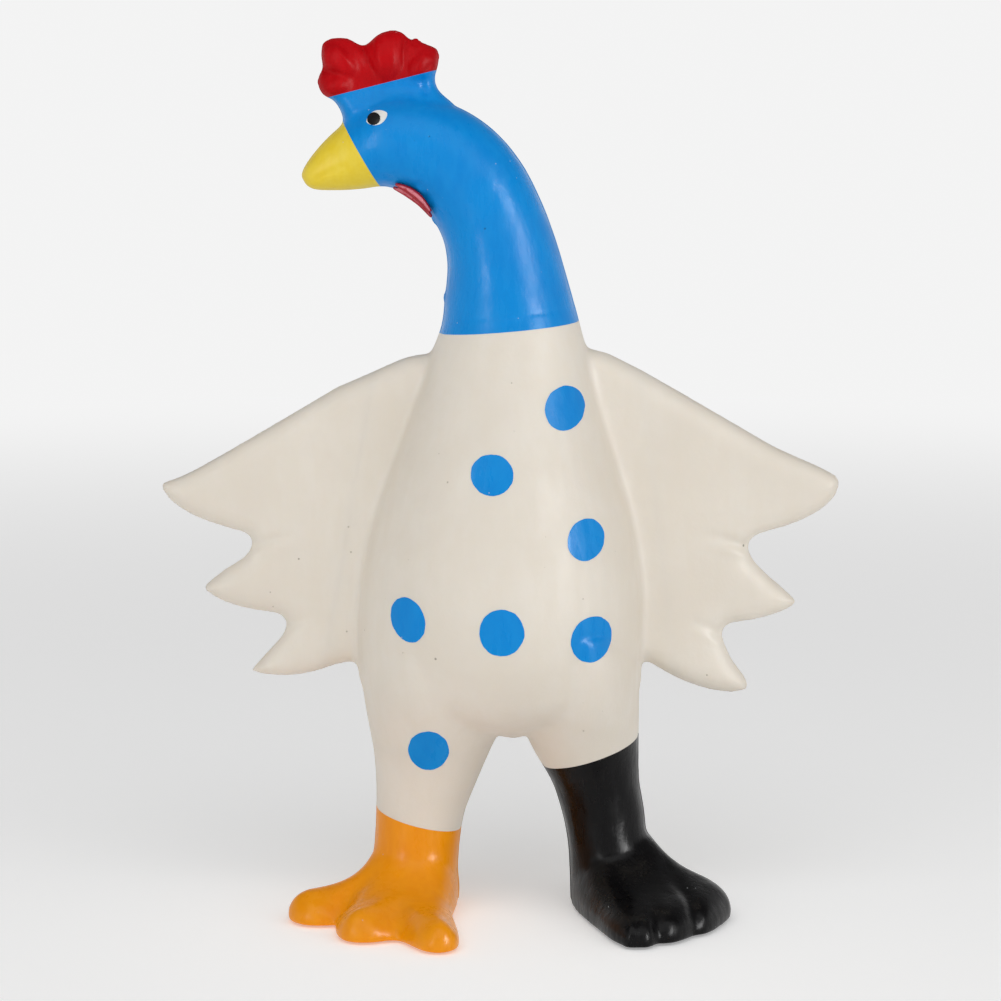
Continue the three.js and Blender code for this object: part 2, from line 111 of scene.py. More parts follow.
BODY = [
    [1.4, 46.2, 5.4, 46.2, 5, 5],
    [-24, 52, 26, 52, 19, 17],
    [-35.4, 58, 35.8, 58, 27.5, 23.5],
    [-37, 67, 36.4, 67, 32.5, 27],
    [-37, 77, 37, 77, 34.6, 28.3],
    [-36.2, 88, 36.6, 88, 34.6, 28.4],
    [-33.8, 100, 35, 100, 33, 27.3],
    [-30.2, 112, 31.8, 112, 30.2, 25.4],
    [-25.8, 124, 28.2, 124, 26.8, 22.8],
    [-21.4, 136, 24.6, 136, 22.6, 19.8],
    [-17.8, 146, 22.2, 146, 19.3, 17.8],
    [-15, 153.4, 20, 154.4, 17.2, 16.4],
    [-14.1, 160.6, 17.8, 162, 15.8, 15.1],
    [-13.4, 167.6, 15.5, 170, 14.7, 14.3],
    [-14, 173.6, 12.9, 178, 14.1, 13.9],
    [-16, 178.7, 9.8, 186, 13.8, 13.6],
    [-19, 183, 5.5, 194.2, 13.5, 13.3],
    [-23, 186.6, -0.6, 201.6, 13.2, 13],
    [-27, 188.4, -8.2, 207.2, 12.9, 12.7],
    [-29.4, 188.9, -16.4, 210.6, 12.4, 12.2],
    [-30.8, 188.8, -24.6, 211.8, 11.7, 11.6],
    [-31.6, 188.8, -32.2, 210.4, 10.8, 10.7],
    [-32.6, 188.6, -38.8, 205.4, 9.2, 9.1],
    [-35.4, 188.2, -42, 202.6, 7.6, 7.6],
    [-39.6, 187.9, -45.1, 199.5, 6.1, 6.1],
    [-44, 187.9, -47.9, 196.2, 4.9, 4.9],
    [-47.2, 188.1, -49.8, 193.4, 3.7, 3.7],
    [-49.2, 189, -50.6, 191.4, 2.0, 2.0],
]
BODY_HOLLOW_END = 0.77

RIGHT_LEG = [
    [-33, 1, -11.4, 1, 11.5, 12],
    [-33.4, 10, -11.3, 10, 12.2, 12.4],
    [-32.9, 18, -10.8, 18, 12.2, 12],
    [-32.4, 26, -9.4, 26, 12, 12],
    [-32.4, 34, -6.3, 34, 13, 12.8],
    [-33, 42, -2.9, 42, 15.6, 14.4],
    [-34.4, 50, 0.6, 50, 20, 17],
    [-35.6, 58, 1, 58, 25, 20],
    [-35, 67, 0, 67, 28, 22],
    [-31, 76, -4, 76, 29, 22],
]

LEFT_LEG = [
    [18.6, 1, 40, 1, 11.5, 12],
    [18.3, 10, 40, 10, 12.6, 12.6],
    [17.8, 18, 38.4, 18, 12.8, 12.2],
    [16.2, 26, 37.6, 26, 12.2, 12],
    [13.6, 34, 36.2, 34, 13, 12.8],
    [9, 42, 36, 42, 15.6, 14.4],
    [5.6, 50, 36, 50, 20, 17],
    [5, 58, 36, 58, 25, 20],
    [6, 67, 35.6, 67, 28, 22],
    [9, 76, 32, 76, 29, 22],
]
LEG_HOLLOW_START = 0.09

# Outlines of the feet from above: [corner, handle, handle] for each curve, as (x, how far forward).
ORANGE_SOLE = [
    [(-33.6, -6), (-34.6, -1), (-37.5, 1.5)],
    [(-41, 3.4), (-45, 5.6), (-48.4, 6.6)],
    [(-51.6, 7.8), (-56.4, 10.4), (-56.2, 18)],
    [(-51, 20.8), (-48, 22.6), (-44.5, 21.8)],
    [(-41.6, 21), (-42.6, 25), (-42.4, 31)],
    [(-40, 34.4), (-37.8, 37.6), (-33.6, 37.6)],
    [(-30, 36), (-28.6, 35), (-27.6, 34.6)],
    [(-26, 34.8), (-24, 36.6), (-22.8, 39.6)],
    [(-20, 43.4), (-17.4, 46.6), (-11.4, 46.6)],
    [(-10.4, 40.5), (-9.8, 35), (-11.4, 28)],
    [(-12.4, 20), (-12.2, 12), (-11.2, 6)],
    [(-11, 0), (-10.6, -8), (-14, -13)],
    [(-20.5, -13.6), (-28, -13.8), (-32.4, -11)],
]
BLACK_SOLE = [
    [(18.4, -2), (18.2, 5), (20.6, 14)],
    [(24.6, 25), (26.4, 30.6), (27.6, 35.4)],
    [(30, 38.8), (31.4, 41.8), (33.2, 41.8)],
    [(34.6, 41), (36, 42), (38.2, 41)],
    [(39.6, 37.2), (41.4, 38.8), (45.4, 37.4)],
    [(49.4, 30.4), (52.4, 30.8), (55.4, 25.4)],
    [(58.6, 17.5), (61, 12.6), (60, 8)],
    [(56, 4), (52, 1.6), (47.6, 1)],
    [(43.4, -2), (42, -6), (41, -9.6)],
    [(36, -12.6), (30, -14.4), (20, -13)],
]


def add_lump(bm, centre, size, lean=0.0):
    """A rounded lump, leaning anticlockwise as seen from the front."""
    made = bmesh.ops.create_icosphere(bm, subdivisions=4, radius=1)
    turn = Matrix.Rotation(-math.radians(lean), 4, "Y")
    bmesh.ops.transform(
        bm, matrix=Matrix.Translation(centre) @ turn @ Matrix.Diagonal((*size, 1)), verts=made["verts"]
    )


# Outlines of the flat lobes: [corner, handle, handle] for each curve, as (x, z).
RIGHT_WING = [
    [(-15, 143), (-18.6, 149.4), (-24, 144.8)],
    [(-42, 137.2), (-56, 128.9), (-66, 123.2)],
    [(-77, 116.8), (-81, 114.6), (-84, 113.4)],
    [(-87.8, 112.2), (-86, 106.5), (-78, 102.6)],
    [(-66.6, 99.9), (-62.8, 98.7), (-63.1, 94.4)],
    [(-68.8, 91.4), (-72.4, 89.4), (-74.4, 87.4)],
    [(-77.3, 85.2), (-73.2, 81.2), (-67, 79.7)],
    [(-58.8, 78.7), (-55, 78), (-54.2, 74.8)],
    [(-58.2, 70.8), (-60.4, 68.2), (-62.4, 66.2)],
    [(-64.8, 63.2), (-60.6, 61.4), (-52, 61.2)],
    [(-43.6, 64.8), (-40, 65.6), (-35, 66)],
    [(-15, 68), (-12, 90), (-10, 120)],
]
LEFT_WING = [
    [(18, 143), (21.6, 150.4), (26, 146.6)],
    [(36, 141.8), (48, 134.9), (58, 128.9)],
    [(70, 122.2), (78, 118.2), (82.4, 116.9)],
    [(87, 114), (88.8, 110), (84, 103.6)],
    [(69, 100), (62.8, 98.6), (62.6, 95)],
    [(67.2, 90.3), (70.6, 87), (73.6, 84.6)],
    [(77, 81.3), (73.2, 77.8), (66, 76.6)],
    [(60, 75.9), (56.4, 74.8), (57, 72)],
    [(60.2, 66.2), (62, 63.4), (64.2, 61.6)],
    [(64.6, 58.6), (60.4, 56.4), (50, 58.4)],
    [(41.6, 63.8), (38, 66), (36, 67)],
    [(15, 70), (12, 90), (12, 120)],
]
COMB = [
    [(-41.6, 209.9), (-42.8, 211.2), (-44.4, 212)],
    [(-46.2, 213.8), (-46.7, 215.9), (-45.8, 217.4)],
    [(-44.8, 218.2), (-45.2, 220), (-45.4, 222)],
    [(-45.2, 224.4), (-44, 226.3), (-40.6, 226.4)],
    [(-38, 225.7), (-36.4, 224.6), (-34.8, 223.6)],
    [(-34, 224.2), (-32, 225.6), (-31.2, 227.8)],
    [(-27.2, 228), (-25, 228), (-24, 227)],
    [(-22.8, 225), (-21, 225.4), (-19, 224.6)],
    [(-16, 223.3), (-15, 222), (-15.8, 219.6)],
    [(-16.7, 216.2), (-16.6, 213.8), (-15.4, 212)],
    [(-12, 209.8), (-14, 204), (-20, 202)],
    [(-32, 202), (-36, 202.5), (-38.6, 203.6)],
    [(-39.8, 205.6), (-40.2, 207.8), (-40.8, 209)],
]
# The comb's four fleshy lobes: middle, half length along the lobe, half width, and which way it leans.
COMB_LOBES = [
    [(-41.0, 214.2), 4.8, 3.2, 8],
    [(-40.0, 220.0), 6.2, 4.2, -44],
    [(-28.6, 220.4), 7.0, 5.2, 84],
    [(-20.2, 218.8), 5.2, 3.8, 50],
]


def outline_points(corners, steps=8):
    points = []
    for (start, a, b), (end, _, _) in zip(corners, corners[1:] + corners[:1]):
        curve = interpolate_bezier(*[Vector((p[0], 0, p[1])) for p in (start, a, b, end)], steps + 1)
        points += curve[:-1]
    return points


def reach(points, path):
    """Seen from the front, how far each point is from a path, and the share of the path passed there."""
    flat = points[:, (0, 2)]
    nearest = np.full(len(points), 1e9)
    share = np.zeros(len(points))
    for i, (start, end) in enumerate(zip(path, path[1:])):
        start = np.array(start, float)
        way = np.array(end, float) - start
        t = np.clip(((flat - start) @ way) / max(way @ way, 1e-9), 0, 1)
        gap = np.linalg.norm(flat - start - t[:, None] * way, axis=1)
        closer = gap < nearest
        nearest[closer] = gap[closer]
        share[closer] = (i + t[closer]) / (len(path) - 1)
    return nearest, share


def coordinates(mesh):
    flat = np.empty(len(mesh.vertices) * 3)
    mesh.vertices.foreach_get("co", flat)
    return flat.reshape(-1, 3)


def normals(mesh):
    flat = np.empty(len(mesh.vertices) * 3)
    mesh.vertices.foreach_get("normal", flat)
    return flat.reshape(-1, 3)


def move_to(mesh, points):
    mesh.vertices.foreach_set("co", points.ravel())
    mesh.update()


def meshed(name, bm):
    bmesh.ops.recalc_face_normals(bm, faces=bm.faces)
    mesh = bpy.data.meshes.new(name)
    bm.to_mesh(mesh)
    bm.free()
    return mesh


def worked(mesh, voxel=0.0, rubs=0, weights=None):
    """The mesh with its closed shells fused into one even surface, or rubbed smooth where weights say."""
    carrier = bpy.data.objects.new("carrier", mesh)
    bpy.context.scene.collection.objects.link(carrier)
    if voxel:
        fuse = carrier.modifiers.new("fuse", "REMESH")
        fuse.mode = "VOXEL"
        fuse.voxel_size = voxel
    if rubs:
        rub = carrier.modifiers.new("rub", "SMOOTH")
        rub.factor = 0.5
        rub.iterations = rubs
    if weights is not None:
        group = carrier.vertex_groups.new(name="rubbed")
        levels = np.round(weights * 12).astype(int)
        for level in range(1, 13):
            group.add(np.flatnonzero(levels == level).tolist(), level / 12, "REPLACE")
        rub.vertex_group = "rubbed"
    evaluated = carrier.evaluated_get(bpy.context.evaluated_depsgraph_get())
    result = bpy.data.meshes.new_from_object(evaluated)
    bpy.data.objects.remove(carrier)
    return result


def pillow(corners, thickness, edge, inset):
    """A flat lobe, puffed up to its half thickness and rounded off along its outline."""
    outline = outline_points(corners)
    bm = bmesh.new()
    face = bm.faces.new([bm.verts.new(point) for point in outline])
    made = bmesh.ops.extrude_face_region(bm, geom=[face])
    lifted = [item for item in made["geom"] if isinstance(item, bmesh.types.BMVert)]
    bmesh.ops.translate(bm, vec=(0, 3, 0), verts=lifted)
    bmesh.ops.translate(bm, vec=(0, -1.5, 0), verts=bm.verts)
    plate = worked(meshed("lobe", bm), voxel=0.8)
    points = coordinates(plate)
    gap, _ = reach(points, [(p.x, p.z) for p in outline + outline[:1]])
    rise = 1 - np.clip((gap - inset) / edge, 0, 1)
    half = (thickness(points) - inset) * np.sqrt(1 - rise**2)
    points[:, 1] = np.sign(points[:, 1]) * np.maximum(half, 0.02)
    move_to(plate, points)
    return plate


def wing_thickness(points):
    """Half of the wing's thickness, which is fuller at the root than at the tips."""
    return 4.3 - 1.3 * np.clip((np.abs(points[:, 0]) - 36) / 50, 0, 1)


def comb_thickness(points):
    return 3.0 + 1.8 * np.clip((214 - points[:, 2]) / 6, 0, 1)


def groove(points, path, width, depth, keep=(1.0, 0.0)):
    """How deep a groove along a path is at each point, as it fades from its start to its end."""
    gap, share = reach(points, path)
    return depth * (keep[0] + (keep[1] - keep[0]) * share) * np.exp(-((gap / width) ** 2))


SOLE_EDGE = 6.6
ANKLE_REACH = 10
TOE_WAIST = 0.3  # how high up a toe its widest place is, as a share of its height


def foot(sole, ankle, height, instep, slope, grooves):
    """A solid foot, flat on the floor, whose instep rises to the ankle and whose toes part at grooves."""
    plate = pillow(sole, lambda points: np.ones(len(points)), SOLE_EDGE, 0)
    points = coordinates(plate)
    gap, _ = reach(points, [ankle, ankle])
    top = height + instep * np.exp(-np.maximum(gap - ANKLE_REACH, 0) / slope)
    for path, width, depth in grooves:
        top -= groove(points, path, width, depth)
    bulge = points[:, 1]
    above = TOE_WAIST + (1 - TOE_WAIST) * bulge
    below = np.maximum(TOE_WAIST + bulge, 0)
    lifted = np.where(bulge > 0, above, below)
    move_to(plate, np.column_stack([points[:, 0], -points[:, 2], top * lifted]))
    return plate


# Where the feet are grooved, or ridged where the depth is below nought: (path, half width, depth).
ORANGE_GROOVES = [
    ([(-42, 22.4), (-38, 15.4), (-31, 8)], 2.6, 3.4),
    ([(-25.8, 37), (-25.4, 23)], 3.4, 3.6),
    ([(-52, 16), (-34, 8)], 3.6, -1.6),
    ([(-37, 34), (-25.5, 21)], 3.4, -2.0),
    ([(-14, 43), (-20, 33), (-25.5, 21)], 3.2, -2.0),
]
BLACK_GROOVES = [
    ([(34.6, 44), (34.8, 28)], 1.6, 1.6),
    ([(39.8, 40), (38.8, 27)], 1.6, 1.9),
    ([(50, 32), (47.4, 21), (41.6, 9)], 1.5, 2.4),
]

BODY_RINGS = 110
LEG_RINGS = 36
WING_EDGE = 5.5  # how far in from its outline a lobe reaches its full thickness
COMB_EDGE = 3.6
LOBE_DEPTH = 5.0
# Specks of flash left on the parting line.
FLASH = [(-37.4, 0, 65.8), (-21.4, 0, 225.4), (46.6, 0, 11), (-14, 0, 160.4), (-16.8, 0, 180.2)]
FLASH_SIZE = (0.9, 0.6, 0.8)
# The raised ring on the back, where the squeaker sits: its middle, how far out it is, its radii and depth.
SEAT_Z = 86
SEAT_OUT = 27.9
PAD_FOOT = 16.5
PAD_TOP = 15
PAD_DEPTH = 8


def cast(inset=0.0):
    """Everything that the mould shapes, as closed shells that cross each other."""
    bm = bmesh.new()
    add_tube(bm, BODY, BODY_RINGS, inset, end=BODY_HOLLOW_END if inset else 1)
    for leg in (RIGHT_LEG, LEFT_LEG):
        add_tube(bm, leg, LEG_RINGS, inset, start=LEG_HOLLOW_START if inset else 0)
    for wing in (RIGHT_WING, LEFT_WING):
        bm.from_mesh(pillow(wing, wing_thickness, WING_EDGE, inset))
    if not inset:
        bm.from_mesh(pillow(COMB, comb_thickness, COMB_EDGE, inset))
        bm.from_mesh(foot(ORANGE_SOLE, (-22, 0), height=6.6, instep=12.4, slope=7, grooves=ORANGE_GROOVES))
        bm.from_mesh(foot(BLACK_SOLE, (30, 0), height=7.6, instep=12, slope=10, grooves=BLACK_GROOVES))
        for (x, z), long, wide, lean in COMB_LOBES:
            add_lump(bm, (x, 0, z), (long, LOBE_DEPTH, wide), lean)
        for place in FLASH:
            add_lump(bm, place, FLASH_SIZE)
        pad = bmesh.ops.create_cone(
            bm, cap_ends=True, segments=64, radius1=PAD_FOOT, radius2=PAD_TOP, depth=PAD_DEPTH
        )
        on_back = Matrix.Translation((0, SEAT_OUT - PAD_DEPTH / 2, SEAT_Z))
        bmesh.ops.transform(bm, matrix=on_back @ Matrix.Rotation(-math.pi / 2, 4, "X"), verts=pad["verts"])
    return bm


skin = worked(meshed("skin", cast()), voxel=FINE, rubs=3)

# The mould maker's fillets: heavy rubbing where the wings, the legs and the comb grow out of the body.
points = coordinates(skin)
RIGHT_CREASE = [
    (-16, 150),
    (-18.9, 144.3),
    (-25, 127.7),
    (-30.5, 115.4),
    (-34.7, 101.7),
    (-36.7, 89.2),
    (-37, 65),
]
LEFT_CREASE = [(21, 151), (23.1, 138), (28, 123.6), (32.1, 109.8), (35.2, 96.1), (36.4, 82.3), (36, 66)]
CROTCH = [(3.3, 36), (3.3, 46)]
BROW = [(-39, 205), (-30, 210.4), (-16, 211.6)]
RUBS = 45
RUBBED_EVERYWHERE = 0.06


def fading(gap, full, none):
    return np.clip((none - gap) / (none - full), 0, 1)


flank = np.abs(points[:, 1])
weights = np.maximum(
    fading(reach(points, RIGHT_CREASE)[0], 2, 6) * fading(flank, 12, 18),
    fading(reach(points, LEFT_CREASE)[0], 2, 6) * fading(flank, 12, 18),
)
thighs = fading(np.abs(points[:, 2] - 53), 9, 17) * fading(np.abs(points[:, 0]), 34, 44)
thighs *= 1 - 0.8 * fading(reach(points, CROTCH)[0], 4, 9)
ankles = 0.85 * fading(np.abs(points[:, 2] - 18), 5, 13)
brow = 0.95 * fading(reach(points, BROW)[0], 1.8, 4.6)
toes = 0.2 * fading(points[:, 2], 12, 20)
everywhere = np.full(len(points), RUBBED_EVERYWHERE)
weights = np.max([weights, thighs, ankles, brow, toes, everywhere], axis=0)
skin = worked(skin, rubs=RUBS, weights=weights)

# The mould's relief: grooves between the feathers and the comb's lobes, ridges, puckers and flat soles.
points = coordinates(skin)


def press(path, width, depth, lip=0.0, keep=(1.0, 0.0)):
    """Presses a groove along a path into both faces of the casting, fading from its start to its end."""
    dent = groove(points, path, width, depth, keep)
    dent -= groove(points, [(x, z - 1.5 * width) for x, z in path], width, lip, keep)
    for flank in (-1, 1):
        on = np.sign(points[:, 1]) == flank
        points[on, 1] -= flank * (dent * np.clip(np.abs(points[:, 1]) / 2, 0, 1))[on]


# The feathers' notches.
press([(-63.5, 96.6), (-57.5, 98.4), (-52, 99.4)], 1.3, 0.9, 0.45)
press([(-55, 75), (-51.4, 77), (-48, 78.4)], 1.2, 0.8, 0.35)
press([(63.2, 96.4), (57, 98.4), (50.6, 99.4)], 1.4, 1.1, 0.6)
press([(56.8, 73), (53, 75.4), (49, 77)], 1.3, 1.0, 0.5)
# Between the comb's lobes, then the ridges on them.
press([(-46.2, 217.9), (-42, 217.6), (-37.4, 215.8)], 0.6, 1.3)
press([(-35.2, 224.6), (-33.4, 219.6), (-30.4, 215.8)], 0.6, 1.5)
press([(-24.2, 227.6), (-24.4, 221), (-23.4, 216.6)], 0.6, 1.3)
press([(-41.4, 223.4), (-38, 219.8), (-35.4, 217.4)], 0.7, -0.6)
press([(-31.6, 226), (-30.4, 220), (-28.6, 216.6)], 0.6, -0.5)
press([(-27, 226), (-27, 221), (-26.4, 217)], 0.6, -0.4)
press([(-18.6, 222.8), (-20.2, 220), (-21, 217.4)], 0.7, -0.5)
press([(-17.4, 219.4), (-19.6, 217.4)], 0.6, 0.6)
# The brow, the nape behind the comb, the mouth, and the line where the blue paint stops.
press([(-39.2, 208.4), (-30.2, 211.2), (-19, 211.4)], 1.2, -0.35, keep=(1, 0.6))
press([(-20, 216.1), (-19, 212.4)], 0.7, 0.7, keep=(0.8, 0.8))
press([(-49.4, 189.6), (-44, 192), (-39.4, 194)], 0.5, 0.3, keep=(0.6, 0.9))
press([(-15.6, 155.2), (2, 156.8), (20, 158.2)], 0.45, 0.16, keep=(1, 1))

# Puckers round the wattles, then the faint lumps of any rubber casting: (depth, how close).
THROAT = [(-27, 190.5), (-21, 187.2), (-17.5, 182)]
PUCKER = (0.9, 0.42)
SWELLS = (0.16, 0.06)
DIMPLES = (0.035, 0.3)
LUMPS_SEED = 3  # without a seed, noise_vector starts from the clock and the lumps differ in each run
noise.seed_set(LUMPS_SEED)
pucker = fading(reach(points, THROAT)[0], 0.5, 4.5)
for i in np.flatnonzero(pucker):
    spot = Vector(points[i])
    points[i, 1] += np.sign(points[i, 1]) * pucker[i] * PUCKER[0] * noise.noise(spot * PUCKER[1])
for i in range(len(points)):
    spot = Vector(points[i])
    swell = SWELLS[0] * np.array(noise.noise_vector(spot * SWELLS[1]))
    points[i] += swell + DIMPLES[0] * np.array(noise.noise_vector(spot * DIMPLES[1]))

SOLE_ROUND = 0.8
low = points[:, 2] < SOLE_ROUND * 2
points[low, 2] = SOLE_ROUND * 2 * np.exp(np.minimum(points[low, 2] / (SOLE_ROUND * 2) - 1, 0))
points[:, 2] = np.maximum(points[:, 2] - 0.2, 0)
move_to(skin, points)

# The parting line: a fine raised seam where the mould's halves met.
bm = bmesh.new()
bm.from_mesh(skin)
SEAM_HALF = 0.32
SEAM_RISE = 0.2
SEAM_START = 1.5  # above the soles
NEAR_CUT = 3.0  # farther from a cut than any face that it crosses


def slit(bm, point, normal, where):
    """Cuts the faces near a plane, but only where where(x, z) holds, and leaves both sides."""
    point, normal = Vector(point), Vector(normal).normalized()
    near = []
    for face in bm.faces:
        centre = face.calc_center_median()
        if abs((centre - point).dot(normal)) < NEAR_CUT and where(centre.x, centre.z):
            near.append(face)
    edges = {edge for face in near for edge in face.edges}
    verts = {vert for face in near for vert in face.verts}
    bmesh.ops.bisect_plane(bm, geom=[*verts, *edges, *near], dist=0.01, plane_co=point, plane_no=normal)


for offset in (-SEAM_HALF, 0, SEAM_HALF):
    slit(bm, (0, offset, 0), (0, 1, 0), lambda x, z: z > SEAM_START)
bm.normal_update()
for vert in bm.verts:
    if abs(vert.co.y) < 0.02 and vert.co.z > SEAM_START:
        vert.co += vert.normal * SEAM_RISE

hollow = worked(meshed("hollow", cast(WALL)), voxel=COARSE, rubs=2)
outer_tree = bvhtree.BVHTree.FromBMesh(bm)
hollow.flip_normals()
bm.from_mesh(hollow)

# ---- The cuts between places that move on their own or have their own paint ----
# Nothing is cut on the real skin. Each cut is a plane where one body's bending starts or one paint ends.


class Cut:
    """A plane across the casting, square to the parting plane, which cuts only where where(x, z) holds."""

    def __init__(self, point, along_x, along_z, where):
        self.point = Vector((point[0], 0, point[1]))
        self.normal = Vector((along_x, 0, along_z)).normalized()
        self.where = where

    def beyond(self, x, z):
        return (x - self.point.x) * self.normal.x + (z - self.point.z) * self.normal.z

    def at(self, distance):
        """A point in the frame's metres, so far beyond the cut."""
        place = self.point + self.normal * distance + Vector((0, PARTING, 0))
        return tuple(place * MM)


def wing_zone(x, z):
    return 56 < z < 149 and abs(x) > 26


CUTS = {
    "right_wing": Cut((-32.4, 141), -0.984976, 0.172691, lambda x, z: wing_zone(x, z) and x < 0),
    "left_wing": Cut((35.8, 141), 0.992393, 0.123108, lambda x, z: wing_zone(x, z) and x > 0),
    "neck": Cut((2.3, 152.75), -0.0873, 0.9962, lambda x, z: z > 149),
    "head": Cut((-1.5, 182), -0.5, 0.866, lambda x, z: z > 165),
    "comb": Cut((-30, 214.4), -0.242, 0.97, lambda x, z: z > 208),
    "beak": Cut((-35.6, 197.2), -0.867, -0.499, lambda x, z: x < -24 and 184 < z < 209),
    "right_leg": Cut((-18, 44.2), 0, -1, lambda x, z: x < 3 and z < 60),
    "orange_foot": Cut((-20.8, 23.9), -0.2437, -0.9698, lambda x, z: x < 3 and z < 40),
    "black_foot": Cut((23.3, 42.1), 0.31, -0.951, lambda x, z: x > 3 and z < 60),
}
for cut in CUTS.values():
    slit(bm, cut.point, cut.normal, cut.where)

cut_skin = bpy.data.meshes.new("cut skin")
bm.to_mesh(cut_skin)
bm.free()
for face in cut_skin.polygons:
    face.use_smooth = True
cut_skin.attributes.new("cast_normal", "FLOAT_VECTOR", "POINT").data.foreach_set(
    "vector", normals(cut_skin).ravel()
)
centres = np.empty(len(cut_skin.polygons) * 3)
cut_skin.polygons.foreach_get("center", centres)
centres = centres.reshape(-1, 3)


def past(name):
    """Which faces lie beyond a cut."""
    cut = CUTS[name]
    where = np.array([cut.where(x, z) for x, _, z in centres])
    return where & (cut.beyond(centres[:, 0], centres[:, 2]) > 0)


places = np.full(len(centres), "torso_skin", dtype=object)
for name in ("right_wing", "left_wing", "right_leg", "orange_foot", "black_foot"):
    places[past(name)] = name
places[past("neck")] = "neck"
places[past("neck") & past("head")] = "head"
places[past("neck") & past("comb") & (centres[:, 0] < -14)] = "comb"
places[past("neck") & past("beak")] = "beak"


def piece_of(place, name, cuts):
    """The part of the casting in one place, its cut edges closed from the outer face to the hollow."""
    bm = bmesh.new()
    bm.from_mesh(cut_skin)
    bm.faces.ensure_lookup_table()
    others = [bm.faces[i] for i in np.flatnonzero(places != place)]
    bmesh.ops.delete(bm, geom=others, context="FACES")
    rims = []
    for cut in cuts:
        plane = CUTS[cut]
        rim = [
            edge
            for edge in bm.edges
            if edge.is_boundary
            and all(
                abs(plane.beyond(v.co.x, v.co.z)) < 0.03 and plane.where(v.co.x, v.co.z) for v in edge.verts
            )
        ]
        cast_faces = len(bm.faces)
        bmesh.ops.triangle_fill(bm, use_beauty=True, use_dissolve=False, edges=rim, normal=plane.normal)
        bm.faces.ensure_lookup_table()
        rims += bm.faces[cast_faces:]
    left_open = sum(edge.is_boundary for edge in bm.edges)
    if left_open:
        print(name, "has open edges:", left_open)
    for face in bm.faces:
        face.smooth = True
    for face in rims:
        face.smooth = False
    bmesh.ops.recalc_face_normals(bm, faces=bm.faces)
    return finished(name, bm)


def finished(name, bm):
    """Sets a piece in the frame, and stores each point's place on the casting so that its finish sticks."""
    mesh = bpy.data.meshes.new(name)
    bm.to_mesh(mesh)
    bm.free()
    points = coordinates(mesh)
    mesh.attributes.new("cast_place", "FLOAT_VECTOR", "POINT").data.foreach_set("vector", points.ravel())
    move_to(mesh, (points + (0, PARTING, 0)) * MM)
    piece = bpy.data.objects.new(name, mesh)
    bpy.context.scene.collection.objects.link(piece)
    return piece


def shade_as_cast(piece):
    """Shades a piece as it was before it was cut, so that no cut shows while it is closed."""
    mesh = piece.data
    shading = mesh.attributes["cast_normal"].data
    kept = np.empty(len(mesh.vertices) * 3)
    shading.foreach_get("vector", kept)
    kept = kept.reshape(-1, 3)
    fresh = np.linalg.norm(kept, axis=1) < 0.5
    kept[fresh] = normals(mesh)[fresh]
    mesh.normals_split_custom_set_from_vertices(kept.tolist())
    mesh.attributes.remove(mesh.attributes["cast_normal"])


# ---- The torso ----
# Natural cream latex, the bare casting, with its belly, back and rump. The belly is where a hand squeezes;
# on the real toy its front bulge gives and the skin round it stretches, but this piece is not made to give.


class Value:
    """One output of a node. Arithmetic on it adds Math nodes."""

    def __init__(self, finish, socket):
        self.finish = finish
        self.socket = socket

    def maths(self, operation, *values):
        return self.finish.node("ShaderNodeMath", {"operation": operation}, dict(enumerate(values)))

    def __add__(self, other):
        return self.maths("ADD", self, other)

    def __sub__(self, other):
        return self.maths("SUBTRACT", self, other)

    def __rsub__(self, other):
        return self.maths("SUBTRACT", other, self)

    def __mul__(self, other):
        return self.maths("MULTIPLY", self, other)

    def between(self, low, high):
        """Nought below low, one above high, and a smooth step between them."""
        settings = {"interpolation_type": "SMOOTHSTEP"}
        values = {"Value": self, "From Min": low, "From Max": high}
        return self.finish.node("ShaderNodeMapRange", settings, values)

    __radd__ = __add__
    __rmul__ = __mul__


def linear(*colour):
    """A colour given as eight-bit display values, as the linear light that a shader takes."""
    shares = [value / 255 for value in colour]
    return (*[s / 12.92 if s <= 0.04045 else ((s + 0.055) / 1.055) ** 2.4 for s in shares], 1)


